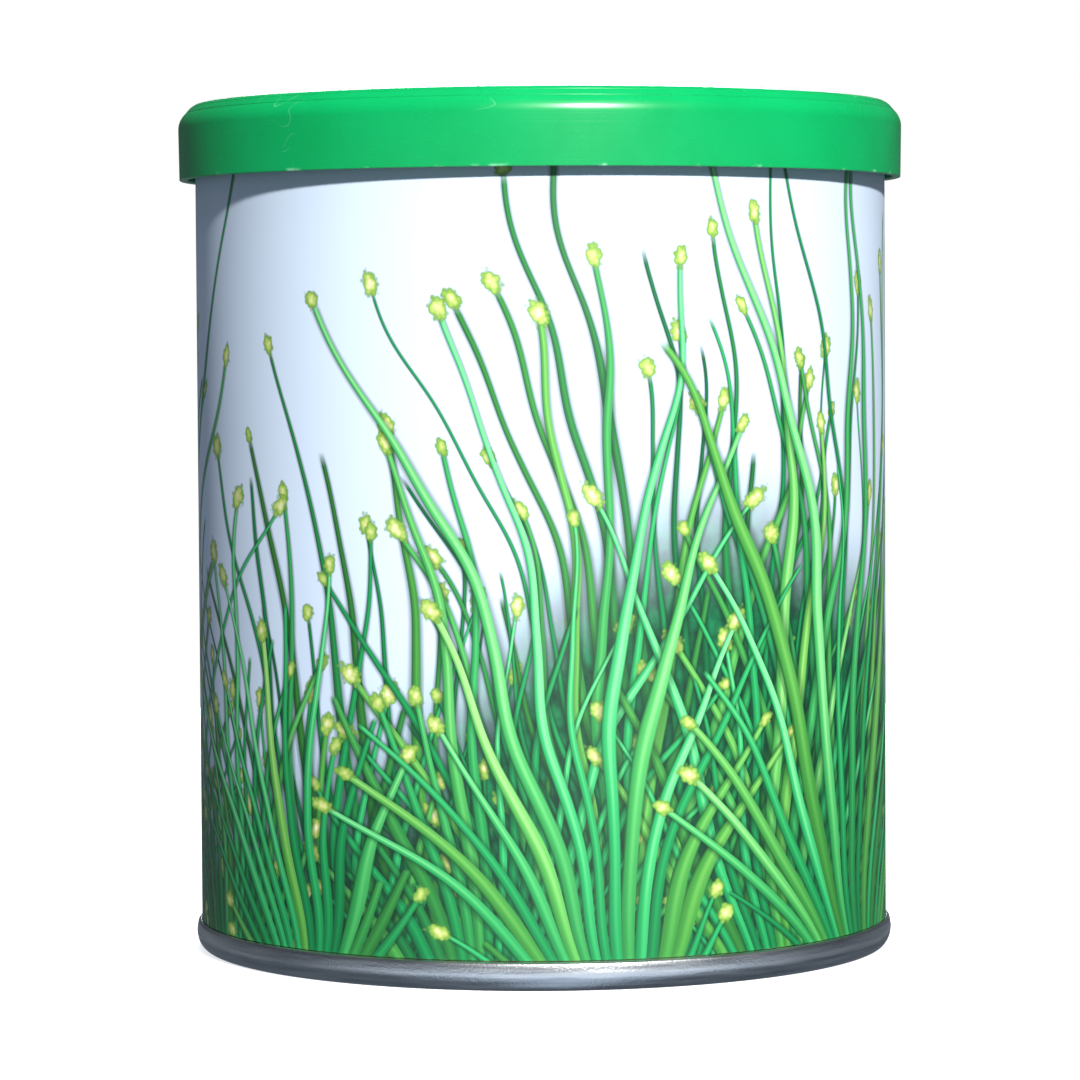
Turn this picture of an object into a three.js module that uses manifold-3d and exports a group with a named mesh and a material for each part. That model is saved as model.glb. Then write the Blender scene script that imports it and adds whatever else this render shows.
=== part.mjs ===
// A round composite can for seeds, closed: a wound board tube with a printed paper label outside and
// a foil liner inside, a tinplate bottom end and a tinplate top ring double-seamed onto the tube, a
// peel-off foil seal on the ring's ledge, and a push-on plastic overcap that snaps under the top seam.
// Millimetres, +Z up. The origin is on the can's axis, on the surface that the can stands on.
// The front of the label faces -Y.
import * as THREE from "three";
import { mergeVertices } from "three/addons/utils/BufferGeometryUtils.js";
import Module from "manifold-3d";

// Driving dimensions
const CAN_BORE = 73.0; // inside diameter of the tube, the can's nominal size
const LABEL_DIAMETER = 74.8; // over the label
const CAN_HEIGHT = 89.3; // foot of the bottom seam to the top of the top seam
const LID_TOP = 91.3; // foot of the bottom seam to the top of the overcap's rim
const SEAM_DIAMETER = 75.9; // over each double seam
const SEAM_HEIGHT = 3.1;
const LID_DIAMETER = 78.4; // over the overcap's skirt
const LID_HEIGHT = 8.1; // lower edge of the skirt to the top of the rim
const LID_WALL = 0.95;

// Sheet and ply thicknesses
const TIN = 0.2;
const LABEL = 0.12;
const LINER = 0.1;
const FOIL = 0.12;
const PLY_GAP = 0.03; // between two plies that touch on the real can
const SEAM_GAP = 0.05; // between the layers of a seam

const SIDES = 48; // flat sides of every round piece, all turned the same way

const point = (r, z) => new THREE.Vector2(r, z);

// Points of an arc in the section plane, angles in degrees from the outward radius. An arc of an
// ellipse has a half height of its own.
function arc(r, z, radius, from, to, steps, halfHeight = radius) {
  const points = [];
  for (let i = 0; i <= steps; i++) {
    const angle = THREE.MathUtils.degToRad(from + ((to - from) * i) / steps);
    points.push(point(r + radius * Math.cos(angle), z + halfHeight * Math.sin(angle)));
  }
  return points;
}

// The closed outline of a bent sheet, from the line along its middle. A line that ends on the axis
// leaves the sheet open there, and turning it round the axis closes it.
function sheetOutline(middle, thickness) {
  const side = (sign) =>
    middle.map((p, i) => {
      const before = middle[Math.max(i - 1, 0)];
      const after = middle[Math.min(i + 1, middle.length - 1)];
      const inward = p.clone().sub(before).normalize();
      const outward = after.clone().sub(p).normalize();
      if (i === 0) inward.copy(outward);
      if (i === middle.length - 1) outward.copy(inward);
      const normal = point(-inward.y - outward.y, inward.x + outward.x).normalize();
      const straight = point(-inward.y, inward.x);
      const mitre = thickness / 2 / normal.dot(straight);
      const moved = p.clone().addScaledVector(normal, sign * mitre);
      if (p.x === 0) moved.x = 0;
      return moved;
    });
  return [...side(1), ...side(-1).reverse()];
}

// A section outline turned round the can's axis. The outline is given in either direction.
function turned(name, outline, material) {
  const closed = outline[0].x > 0 || outline.at(-1).x > 0;
  const area = THREE.ShapeUtils.area(outline);
  const ordered = area > 0 ? [...outline] : [...outline].reverse();
  if (closed) ordered.push(ordered[0].clone());
  const geometry = new THREE.LatheGeometry(ordered, SIDES).rotateX(Math.PI / 2);
  const mesh = new THREE.Mesh(geometry, material);
  mesh.name = name;
  return mesh;
}

const finish = (color, roughness, metalness = 0) =>
  new THREE.MeshStandardMaterial({ color, roughness, metalness });

const tinplate = finish("#a9b0b5", 0.28, 1);
const greenPlastic = finish("#12b457", 0.38);
const labelPaper = finish("#dfeaf6", 0.35);
const greyBoard = finish("#b9a88c", 0.9);
const foilLaminate = finish("#c9ccd0", 0.35, 1);

// The double seam, in radius and height above its foot. From the bore outwards it is chuck wall,
// tube wall, cover hook, tube hook and outer wall. The tube is pressed thinner inside it.
const boreRadius = CAN_BORE / 2;
const seamRadius = SEAM_DIAMETER / 2;
const pressedBoard = 0.42;
const chuckLine = boreRadius - SEAM_GAP - TIN / 2;
const coverHookLine = boreRadius + pressedBoard + SEAM_GAP + TIN / 2;
const outerLine = seamRadius - TIN / 2;
const coverHookTip = 1.3;
const footEdge = 36.75; // outer edge of the narrow ring that the seam stands on
const footRise = 2.2; // height that the outer wall takes to curve down to that ring
const footSteps = 6;
const footBend = 0.25; // inner edge of the ring to the chuck wall
const foldRadius = (outerLine - coverHookLine) / 2;
const foldHeight = SEAM_HEIGHT - TIN / 2 - foldRadius;
const countersinkDepth = 4.0;
const chuckTaper = 0.3;
const chuckWall = chuckLine - chuckTaper; // where the chuck wall ends
const chuckEnd = 3.4;

// The middle of the sheet through the seam, from the cover hook's tip round to the chuck wall.
function seamLine() {
  return [
    point(coverHookLine, coverHookTip),
    ...arc(coverHookLine + foldRadius, foldHeight, foldRadius, 180, 0, 4),
    ...arc(footEdge, footRise, outerLine - footEdge, 0, -90, footSteps, footRise - TIN / 2),
    ...arc(chuckLine + footBend, TIN / 2 + footBend, footBend, -90, -180, 2),
    point(chuckWall, chuckEnd),
  ];
}

// Bottom end: past the seam the sheet turns over the countersink, comes back down to the panel, and
// the panel has one raised ring that stiffens it.
function bottomEnd() {
  const sinkRadius = 0.5;
  const sinkHeight = countersinkDepth - TIN / 2 - sinkRadius;
  const panel = 2.9;
  const panelEdge = chuckWall - 2 * sinkRadius - 0.3;
  const ringOuter = 27;
  const ringInner = 24.5;
  const ringRise = 0.6;
  const slope = 0.7;
  const middle = [
    ...seamLine(),
    ...arc(chuckWall - sinkRadius, sinkHeight, sinkRadius, 30, 180, 4),
    point(panelEdge, panel),
    point(ringOuter, panel),
    point(ringOuter - slope, panel + ringRise),
    point(ringInner + slope, panel + ringRise),
    point(ringInner, panel),
    point(0, panel),
  ];
  return turned("bottom_end", sheetOutline(middle, TIN), tinplate);
}

// Top ring: the same seam upside down, then a flat ledge that carries the foil, with its inner edge
// hemmed back under itself so that it can't cut.
const ledgeDepth = countersinkDepth;

function topRing() {
  const ledgeLine = ledgeDepth + TIN / 2;
  const ledgeBend = 0.45;
  const ledgeInner = 33.2;
  const hemRadius = 0.25;
  const hemReach = 0.75; // past the middle of the fold
  const middle = [
    ...seamLine().slice(0, -1),
    point(chuckWall, ledgeLine - ledgeBend),
    point(chuckWall - ledgeBend, ledgeLine),
    ...arc(ledgeInner + hemRadius, ledgeLine + hemRadius, hemRadius, -90, -270, 3),
    point(ledgeInner + hemRadius + hemReach, ledgeLine + 2 * hemRadius),
  ];
  const upsideDown = sheetOutline(middle, TIN).map((p) => point(p.x, CAN_HEIGHT - p.y));
  return turned("top_ring", upsideDown, tinplate);
}

// Tube: a plain wall of wound board. At each end it is pressed thin and hooked outwards between the
// seam's cover hook and outer wall, and the hook follows the curve of the seam's foot.
const labelRadius = LABEL_DIAMETER / 2;
const boardOuter = labelRadius - LABEL - PLY_GAP;
const boardInner = boreRadius + LINER + PLY_GAP;
const fullOutside = 3.3; // height above the seam's foot where the wall has its full thickness outside
const fullInside = 3.5; // and inside

function tube() {
  const pressedOuter = boreRadius + pressedBoard;
  const slopeOutside = 0.55;
  const slopeInside = 0.6;
  const inset = TIN / 2 + SEAM_GAP; // from the middle of the tin to the board
  const hookInner = coverHookLine + inset;
  const hookOuter = outerLine - inset;
  const hookTop = 2.4;
  const hookFoot = TIN + SEAM_GAP;
  const corner = footBend - inset;
  const bendInner = (hookInner - pressedOuter) / 2;
  const tipClearance = 0.1; // below the cover hook's tip
  const bendHeight = coverHookTip - tipClearance;
  // One end's outline in radius and height above the seam's foot, from the bore to the outside.
  const end = [
    point(boardInner, fullInside),
    point(boreRadius, fullInside - slopeInside),
    ...arc(boreRadius + corner, hookFoot + corner, corner, 180, 270, 2),
    ...arc(footEdge, footRise, hookOuter - footEdge, -90, 0, footSteps, footRise - hookFoot),
    point(hookOuter, hookTop),
    point(hookInner, hookTop),
    ...arc(pressedOuter + bendInner, bendHeight, bendInner, 0, -180, 2),
    point(pressedOuter, fullOutside - slopeOutside),
    point(boardOuter, fullOutside),
  ];
  const otherEnd = end.map((p) => point(p.x, CAN_HEIGHT - p.y)).reverse();
  return turned("tube", [...end, ...otherEnd], greyBoard);
}

// Liner: the foil ply inside the board, from one pressed end to the other.
function liner() {
  const endClearance = 0.1; // from the bend where the board is pressed
  const low = fullInside + endClearance;
  const high = CAN_HEIGHT - low;
  const outline = [
    point(boreRadius, low),
    point(boreRadius + LINER, low),
    point(boreRadius + LINER, high),
    point(boreRadius, high),
  ];
  return turned("foil_liner", outline, foilLaminate);
}

// Label: one printed sheet round the tube. Its end laps over its start down the back of the can.
function label() {
  const margin = SEAM_HEIGHT + SEAM_GAP; // from each end of the can to the label's edge
  const lapSides = 1; // flat sides that the lap covers, about 5 mm
  const back = Math.PI / 2;
  const step = (2 * Math.PI) / SIDES;
  const onCircle = (radius, i) => {
    const angle = back + i * step;
    return point(radius * Math.cos(angle), radius * Math.sin(angle));
  };
  const outer = [];
  for (let i = lapSides; i <= SIDES; i++) outer.push(onCircle(labelRadius, i));
  outer.push(onCircle(labelRadius + LABEL, 0));
  outer.push(onCircle(labelRadius + LABEL, lapSides));
  const sheet = new THREE.Shape(outer);
  const inner = [];
  for (let i = 0; i < SIDES; i++) inner.push(onCircle(labelRadius - LABEL, -i));
  sheet.holes.push(new THREE.Path(inner));
  const depth = CAN_HEIGHT - 2 * margin;
  const geometry = new THREE.ExtrudeGeometry(sheet, { depth, bevelEnabled: false });
  const mesh = new THREE.Mesh(geometry, labelPaper);
  mesh.name = "label";
  mesh.position.z = margin;
  return mesh;
}

// A closed geometry as a solid that can be joined and cut.
function solid(wasm, geometry) {
  geometry.deleteAttribute("normal");
  geometry.deleteAttribute("uv");
  const merged = mergeVertices(geometry, 1e-4);
  return new wasm.Manifold(
    new wasm.Mesh({
      numProp: 3,
      vertProperties: merged.attributes.position.array,
      triVerts: new Uint32Array(merged.index.array),
    }),
  );
}

// Foil seal: a disc of foil laminate on the ring's ledge. Its pull tab is at the front of the can,
// folded back flat over the disc, and the tab's free end is round.
async function foilSeal() {
  const wasm = await Module();
  wasm.setup();
  const radius = 35.0;
  const tabWidth = 16;
  const tabReach = 19; // from the fold towards the middle
  const tabRise = FOIL + 0.15; // underside of the folded tab, with air between it and the disc
  const foldEdge = -34.2; // where the fold leaves the disc
  const foldOut = 0.2;
  const disc = new THREE.CylinderGeometry(radius, radius, FOIL, SIDES).rotateX(Math.PI / 2);
  disc.translate(0, 0, FOIL / 2);
  // The fold and the tab as one bent strip, seen from the side.
  const strip = new THREE.Shape([
    point(foldEdge, FOIL / 2),
    point(foldEdge, tabRise),
    point(foldEdge + tabReach, tabRise),
    point(foldEdge + tabReach, tabRise + FOIL),
    point(foldEdge - foldOut, tabRise + FOIL),
    point(foldEdge - foldOut, FOIL / 2),
  ]);
  const tab = new THREE.ExtrudeGeometry(strip, { depth: tabWidth, bevelEnabled: false });
  // The strip's own axes turn to the can's Y and Z, and its width to X.
  const [alongX, alongY, alongZ] = [0, 1, 2].map((i) => new THREE.Vector3().setComponent(i, 1));
  tab.applyMatrix4(new THREE.Matrix4().makeBasis(alongY, alongZ, alongX));
  tab.translate(-tabWidth / 2, 0, 0);
  // What lies inside this outline is kept, which rounds the free end.
  const half = tabWidth / 2;
  const middleOfRound = foldEdge + tabReach - half;
  const rounded = new THREE.Shape();
  rounded.moveTo(-half, -radius);
  rounded.lineTo(half, -radius);
  rounded.lineTo(half, middleOfRound);
  rounded.absarc(0, middleOfRound, half, 0, Math.PI, false);
  rounded.closePath();
  const cutter = { depth: 2 * tabRise, bevelEnabled: false, curveSegments: 10 };
  const kept = solid(wasm, tab).intersect(solid(wasm, new THREE.ExtrudeGeometry(rounded, cutter)));
  const made = solid(wasm, disc).add(kept).getMesh();
  const geometry = new THREE.BufferGeometry();
  geometry.setAttribute("position", new THREE.BufferAttribute(made.vertProperties, 3));
  geometry.setIndex(new THREE.BufferAttribute(made.triVerts, 1));
  geometry.computeVertexNormals();
  const mesh = new THREE.Mesh(geometry, foilLaminate);
  mesh.name = "foil_seal";
  mesh.position.z = CAN_HEIGHT - ledgeDepth + PLY_GAP;
  return mesh;
}

// Overcap: a sunken panel, a plug wall inside the top seam, a rim above the seam and a skirt outside
// it. The rim slopes down to the skirt's rounded corner. It is hollow below, and the step beside that
// groove rests on the seam. A low bead round the inside of the skirt snaps under the seam.
function overcap() {
  const chamfer = 0.3;
  const panelTop = LID_TOP - 1.9;
  const panelUnder = panelTop - LID_WALL;
  const gateRadius = 5; // shallow dimple left round the moulding gate
  const gateSlope = 0.6;
  const gateDepth = 0.25;
  const plugClearance = 0.2;
  const plug = chuckLine - TIN / 2 - plugClearance;
  const rimInner = plug - LID_WALL;
  const rimTop = 37.4; // outer edge of the rim's flat top
  const rimSlope = 37.95; // where its rounding turns into the slope
  const rimRounding = 0.36;
  const grooveOuter = 36.85;
  const grooveTop = LID_TOP - LID_WALL;
  const step = CAN_HEIGHT + PLY_GAP;
  const shoulder = step + LID_WALL;
  const cornerRadius = 2.3;
  const cornerTurn = 45; // degrees of the corner's arc, from the slope to the upright skirt
  const cornerHeight = shoulder - cornerRadius * Math.sin(THREE.MathUtils.degToRad(cornerTurn));
  const insideCorner = 0.45;
  const skirt = LID_DIAMETER / 2;
  const skirtInner = skirt - LID_WALL;
  const skirtFoot = LID_TOP - LID_HEIGHT;
  const footOuter = skirt - 0.08; // the skirt's draft
  const footBevel = 0.12;
  const bead = CAN_HEIGHT - SEAM_HEIGHT - 0.65;
  const beadInner = seamRadius - 0.12;
  const beadHalf = 0.55;
  const outline = [
    point(0, panelTop - gateDepth),
    point(gateRadius - gateSlope, panelTop - gateDepth),
    point(gateRadius, panelTop),
    point(rimInner - chamfer, panelTop),
    point(rimInner, panelTop + chamfer),
    point(rimInner, LID_TOP - chamfer),
    point(rimInner + chamfer, LID_TOP),
    point(rimTop, LID_TOP),
    point(rimSlope, LID_TOP - rimRounding),
    ...arc(skirt - cornerRadius, cornerHeight, cornerRadius, cornerTurn, 0, 4),
    point(footOuter, skirtFoot + footBevel),
    point(footOuter - footBevel, skirtFoot),
    point(skirtInner + footBevel, skirtFoot),
    point(skirtInner, skirtFoot + footBevel),
    point(skirtInner, bead - beadHalf),
    point(beadInner, bead),
    point(skirtInner, bead + beadHalf),
    point(skirtInner, step - insideCorner),
    point(skirtInner - insideCorner, step),
    point(grooveOuter, step),
    point(grooveOuter, grooveTop),
    point(plug, grooveTop),
    point(plug, panelUnder + chamfer),
    point(plug - chamfer, panelUnder),
    point(0, panelUnder),
  ];
  return turned("overcap", outline, greenPlastic);
}

const can = new THREE.Group();
can.name = "seed_can";
can.add(bottomEnd(), tube(), liner(), label(), topRing(), await foilSeal(), overcap());

export default can;
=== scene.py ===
# %% [markdown]
# A seed can from the outside in
#
# The object is a composite can: a tube of wound board with a paper label glued round it, a tinplate
# end seamed on below, a tinplate ring with a peel-off foil seamed on above, and a soft plastic lid
# pushed over the ring. Nearly every piece is round, so one lathe made of Geometry Nodes turns all of
# their sections. The label is the exception, because a sheet has two ends that lap.

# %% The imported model
import math

import bmesh
import bpy
from mathutils import Matrix, Vector


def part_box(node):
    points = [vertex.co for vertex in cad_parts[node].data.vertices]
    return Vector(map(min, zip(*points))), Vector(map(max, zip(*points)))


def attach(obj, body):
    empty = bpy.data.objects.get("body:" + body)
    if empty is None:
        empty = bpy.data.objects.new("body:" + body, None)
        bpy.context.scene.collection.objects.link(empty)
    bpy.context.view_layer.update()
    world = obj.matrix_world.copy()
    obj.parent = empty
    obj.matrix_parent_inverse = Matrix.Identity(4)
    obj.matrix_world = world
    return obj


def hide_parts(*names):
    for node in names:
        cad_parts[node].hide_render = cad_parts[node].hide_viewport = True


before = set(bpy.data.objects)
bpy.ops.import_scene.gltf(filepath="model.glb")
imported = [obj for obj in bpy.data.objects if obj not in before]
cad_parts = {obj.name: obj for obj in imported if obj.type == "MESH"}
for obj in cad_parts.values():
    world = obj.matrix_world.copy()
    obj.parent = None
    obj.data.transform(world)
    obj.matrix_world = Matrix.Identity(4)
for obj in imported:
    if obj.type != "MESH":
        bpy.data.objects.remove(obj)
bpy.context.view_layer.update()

MM = 0.001

# %% [markdown]
# Sizes
#
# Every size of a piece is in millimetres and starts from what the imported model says: the height of the
# lid, the radius of the seam, the edges of the label. Sheet and ply thicknesses are those of real cans.
# The script turns millimetres into metres only where it makes a mesh or places a pattern.

# %% Sizes that the pieces share


def low_and_high(node):
    """Lowest and highest corner of a CAD node, in millimetres."""
    return [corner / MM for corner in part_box(node)]


lid_low, lid_high = low_and_high("overcap")
ring_low, ring_high = low_and_high("top_ring")
end_low, end_high = low_and_high("bottom_end")
label_low, label_high = low_and_high("label")
seal_low, seal_high = low_and_high("foil_seal")
liner_low, liner_high = low_and_high("foil_liner")

LID_TOP = lid_high.z
LID_FOOT = lid_low.z
LID_RADIUS = lid_high.x
CAN_TOP = ring_high.z
SEAM_RADIUS = end_high.x
LABEL_RADIUS = label_high.x
LID_WALL = 0.95
TIN = 0.2
LABEL_PAPER = 0.12
LINER_FOIL = 0.1
SEAL_FOIL = 0.12
AIR = 0.03  # between plies that touch on the real can
SEAM_AIR = 0.05
BORE_RADIUS = liner_high.x - LINER_FOIL
SEAM_HEIGHT = 3.1
print("radius of lid, seam and bore:", [round(r, 2) for r in (LID_RADIUS, SEAM_RADIUS, BORE_RADIUS)])

# %% [markdown]
# Colours and nodes
#
# Colours are written as the hex codes that a paint program shows. Blender's shaders work in linear
# light, so one function turns a code into linear values. A second one adds a node of any kind, sets it
# and links it. Two short ones start a material and set the colours of a Color Ramp.

# %% Helpers for materials

MATH = "ShaderNodeMath"


def linear(code, alpha=1.0):
    """An sRGB hex code as linear red, green, blue and alpha."""
    channels = [int(code[i : i + 2], 16) / 255 for i in (1, 3, 5)]
    return (*[c / 12.92 if c <= 0.04045 else ((c + 0.055) / 1.055) ** 2.4 for c in channels], alpha)


def add(tree, kind, inputs=(), **settings):
    """Adds a node. inputs, by place or by name, are nodes, sockets or plain values."""
    node = tree.nodes.new(kind)
    for name, value in settings.items():
        setattr(node, name, value)
    shown = [socket for socket in node.inputs if socket.enabled]
    pairs = inputs.items() if isinstance(inputs, dict) else enumerate(inputs)
    for key, value in pairs:
        socket = shown[key] if isinstance(key, int) else next(s for s in shown if s.name == key)
        if isinstance(value, bpy.types.Node):
            value = next(s for s in value.outputs if s.enabled)
        if isinstance(value, bpy.types.NodeSocket):
            tree.links.new(value, socket)
        elif value is not None:
            socket.default_value = value
    return node


def new_material(name):
    """A material with an empty node tree."""
    made = bpy.data.materials.new(name)
    made.use_nodes = True
    made.node_tree.nodes.clear()
    print("material:", name)
    return made, made.node_tree


def ramp_colours(node, stops):
    """Sets a Color Ramp's stops, each a place from 0 to 1 and a hex code, and hands the node back."""
    elements = node.color_ramp.elements
    while len(elements) < len(stops):
        elements.new(1.0)
    for element, (place, code) in zip(elements, stops):
        element.position = place
        element.color = linear(code)
    return node


# %% [markdown]
# Low-density polyethylene
#
# The lid is injection moulded in a soft, slightly waxy plastic. It is glossy but not mirror-like, and
# light goes a little way into it, which softens its shading. The mould was turned on a lathe, so fine
# rings run round the lid and break its highlight into horizontal streaks. Handling leaves short pale
# scratches. The rings are a noise that only changes with radius and height, with a pitch of about
# 0.22 mm.

# %% Green lid plastic

EDGE_BAND = (LID_FOOT * MM, (LID_FOOT + 0.35) * MM)  # heights between which the scuffed patches and the painted highlight fade out


def moulded_polyethylene():
    made, tree = new_material("moulded_low_density_polyethylene")
    place = add(tree, "ShaderNodeTexCoord").outputs["Object"]
    parts = add(tree, "ShaderNodeSeparateXYZ", [place])
    flat = add(tree, "ShaderNodeCombineXYZ", [parts.outputs["X"], parts.outputs["Y"]])
    radius = add(tree, "ShaderNodeVectorMath", [flat], operation="LENGTH").outputs["Value"]
    across = add(tree, "ShaderNodeCombineXYZ", [radius, 0.0, parts.outputs["Z"]])
    rings = add(tree, "ShaderNodeTexNoise", {"Vector": across, "Scale": 4500.0, "Detail": 2.0})
    clouds = add(tree, "ShaderNodeTexNoise", {"Vector": place, "Scale": 90.0, "Detail": 3.0})
    colour = add(tree, "ShaderNodeValToRGB", [clouds])
    ramp_colours(colour, [(0.3, "#029F55"), (0.7, "#03A95E")])
    # Scratches are thin stretches where a stretched noise crosses its middle value.
    drawn_out = {"Rotation": (0.5, 0.3, 0.9), "Scale": (60.0, 500.0, 500.0)}
    turned = add(tree, "ShaderNodeMapping", {"Vector": place, **drawn_out})
    hair = add(tree, "ShaderNodeTexNoise", {"Vector": turned, "Scale": 1.0, "Detail": 0.0})
    off_middle = add(tree, MATH, [hair.outputs[0], 0.5], operation="SUBTRACT")
    distance = add(tree, MATH, [off_middle], operation="ABSOLUTE")
    thin = add(tree, "ShaderNodeMapRange", [distance, 0.0, 0.004, 1.0, 0.0])
    where = add(tree, "ShaderNodeTexNoise", {"Vector": place, "Scale": 130.0, "Detail": 0.0})
    patches = add(tree, "ShaderNodeMapRange", [where, 0.66, 0.72, 0.0, 1.0])
    scratch = add(tree, MATH, [thin, patches], operation="MULTIPLY")
    # The skirt's lower edge is scuffed in places. The pale patches there are also a painted highlight,
    # where its rounding would catch the light.
    above_edge = add(tree, "ShaderNodeMapRange", [parts.outputs["Z"], *EDGE_BAND, 1.0, 0.0])
    edge_patch_noise = add(tree, "ShaderNodeTexNoise", {"Vector": place, "Scale": 420.0, "Detail": 5.0})
    # Pale patches along the edge: scuffing and a painted highlight.
    wear_and_painted_light = add(tree, "ShaderNodeMapRange", [edge_patch_noise, 0.57, 0.66, 0.0, 0.7])
    scuffs_and_painted_highlight = add(tree, MATH, [above_edge, wear_and_painted_light], operation="MULTIPLY")
    marks_and_painted_highlight = add(tree, MATH, [scratch, scuffs_and_painted_highlight], operation="MAXIMUM")
    pale = add(tree, "ShaderNodeMix", [marks_and_painted_highlight, colour, linear("#A9F0C9")], data_type="RGBA")
    roughness = add(tree, "ShaderNodeMapRange", [clouds, 0.3, 0.7, 0.24, 0.3])
    bump = add(tree, "ShaderNodeBump", {"Height": rings, "Strength": 0.22, "Distance": 0.00006})
    shader = add(
        tree,
        "ShaderNodeBsdfPrincipled",
        {
            "Base Color": pale,
            "Roughness": roughness,
            "Normal": bump,
            "IOR": 1.51,
            "Subsurface Weight": 0.15,
            "Subsurface Scale": 0.0015,
        },
    )
    shader.inputs["Subsurface Radius"].default_value = (0.3, 1.0, 0.5)
    add(tree, "ShaderNodeOutputMaterial", [shader])
    return made


green_plastic = moulded_polyethylene()

# %% [markdown]
# Tinplate
#
# Tinplate is thin steel sheet with a coat of tin. Rolling leaves it bright with a fine grain, which
# the light breaks up into sparkles. The lower half of the bottom seam is given a darker colour, which
# is painted shade. The grain is drawn at about 0.2 mm, coarser than the real one, so that it shows.

# %% Bright tinplate

PAINTED_SHADE_LINE = 1.45  # height below which the bottom seam's colour is darkened as painted shade


def rolled_tinplate():
    made, tree = new_material("rolled_tinplate")
    place = add(tree, "ShaderNodeTexCoord").outputs["Object"]
    height = add(tree, "ShaderNodeSeparateXYZ", [place]).outputs["Z"]
    grain = add(tree, "ShaderNodeTexNoise", {"Vector": place, "Scale": 4500.0, "Detail": 1.0})
    drawn = add(tree, "ShaderNodeMapping", {"Vector": place, "Scale": (120.0, 120.0, 3000.0)})
    streaks = add(tree, "ShaderNodeTexNoise", {"Vector": drawn, "Scale": 1.0, "Detail": 2.0})
    wander = add(tree, "ShaderNodeTexNoise", {"Vector": place, "Scale": 160.0, "Detail": 3.0})
    drift = add(tree, "ShaderNodeMapRange", [wander, 0.3, 0.7, -0.1 * MM, 0.1 * MM])
    level = add(tree, MATH, [height, drift], operation="ADD")
    limits = [(PAINTED_SHADE_LINE + way * 0.12) * MM for way in (-1, 1)]
    # Below this line the seam's colour is made darker: painted shade.
    painted_shade_share = add(tree, "ShaderNodeMapRange", [level, *limits, 1.0, 0.0])
    bright = add(tree, "ShaderNodeValToRGB", [streaks])
    ramp_colours(bright, [(0.3, "#C9CED2"), (0.7, "#E6EAED")])
    # This darker ramp is painted shade for the seam's lower half.
    wear_and_painted_light = add(tree, "ShaderNodeValToRGB", [streaks])
    ramp_colours(wear_and_painted_light, [(0.3, "#99A2AA"), (0.7, "#BDC5CC")])
    colour = add(tree, "ShaderNodeMix", [painted_shade_share, bright, wear_and_painted_light], data_type="RGBA")
    roughness = add(tree, "ShaderNodeMapRange", [streaks, 0.3, 0.7, 0.26, 0.34])
    fine = add(tree, "ShaderNodeBump", {"Height": grain, "Strength": 0.9, "Distance": 0.00003})
    bump = add(
        tree, "ShaderNodeBump", {"Height": streaks, "Strength": 0.15, "Distance": 0.00002, "Normal": fine}
    )
    shader = add(
        tree,
        "ShaderNodeBsdfPrincipled",
        {"Base Color": colour, "Metallic": 1.0, "Roughness": roughness, "Normal": bump},
    )
    add(tree, "ShaderNodeOutputMaterial", [shader])
    return made


tinplate = rolled_tinplate()

# %% [markdown]
# Board and foil
#
# The tube is wound from grey-brown board, made of short recycled fibres, with one white ply outside.
# Its fibres lie mostly along the ply. The liner and the seal are aluminium foil on paper or plastic:
# satin, with a faint crinkle from the heat of sealing.

# %% Wound board, white ply and foil


def wound_board(name, dark, light, roughness):
    made, tree = new_material(name)
    place = add(tree, "ShaderNodeTexCoord").outputs["Object"]
    laid = add(tree, "ShaderNodeMapping", {"Vector": place, "Scale": (900.0, 900.0, 2600.0)})
    fibres = add(tree, "ShaderNodeTexNoise", {"Vector": laid, "Scale": 1.0, "Detail": 4.0})
    colour = add(tree, "ShaderNodeValToRGB", [fibres])
    ramp_colours(colour, [(0.35, dark), (0.65, light)])
    bump = add(tree, "ShaderNodeBump", {"Height": fibres, "Strength": 0.3, "Distance": 0.00004})
    shader = add(
        tree, "ShaderNodeBsdfPrincipled", {"Base Color": colour, "Roughness": roughness, "Normal": bump}
    )
    add(tree, "ShaderNodeOutputMaterial", [shader])
    return made


def foil_laminate():
    made, tree = new_material("aluminium_foil_laminate")
    place = add(tree, "ShaderNodeTexCoord").outputs["Object"]
    crinkle = add(
        tree, "ShaderNodeTexVoronoi", {"Vector": place, "Scale": 260.0}, feature="DISTANCE_TO_EDGE"
    )
    clouds = add(tree, "ShaderNodeTexNoise", {"Vector": place, "Scale": 300.0, "Detail": 3.0})
    colour = add(tree, "ShaderNodeValToRGB", [clouds])
    ramp_colours(colour, [(0.35, "#C6C9CE"), (0.65, "#DADCE0")])
    roughness = add(tree, "ShaderNodeMapRange", [clouds, 0.3, 0.7, 0.28, 0.4])
    bump = add(tree, "ShaderNodeBump", {"Height": crinkle, "Strength": 0.2, "Distance": 0.0001})
    shader = add(
        tree,
        "ShaderNodeBsdfPrincipled",
        {"Base Color": colour, "Metallic": 1.0, "Roughness": roughness, "Normal": bump},
    )
    add(tree, "ShaderNodeOutputMaterial", [shader])
    return made


grey_board = wound_board("wound_grey_board", "#A8977A", "#C3B395", 0.9)
white_ply = wound_board("bleached_outer_ply", "#DDE6F0", "#EDF3FA", 0.6)
foil = foil_laminate()

# %% [markdown]
# The printed label, part one: one fan of grass
#
# The label is coated paper with a print of meadow grass: long blades that rise from the lower edge,
# arch outwards and end in pale seed heads. The print is drawn by the shader, so it stays sharp from
# any distance. One node group draws one fan of blades over whatever colour it is given. It works in
# polar coordinates round the fan's root. The angle is cut into equal slices, and each slice holds one
# blade, whose length, width and shade come from White Noise. The angle is first divided by a number
# that grows with the distance, and this makes the blades arch outwards.

# %% The group's inputs and the place in the fan

HALF_WAY_ROUND = math.pi * LABEL_RADIUS  # the print repeats after this length, with other blades
FAN_NUMBERS = (
    "Root along", "Root up", "Lean", "Arch", "Slice", "Half spread", "Reach", "Width", "Light", "Draw"
)


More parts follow.
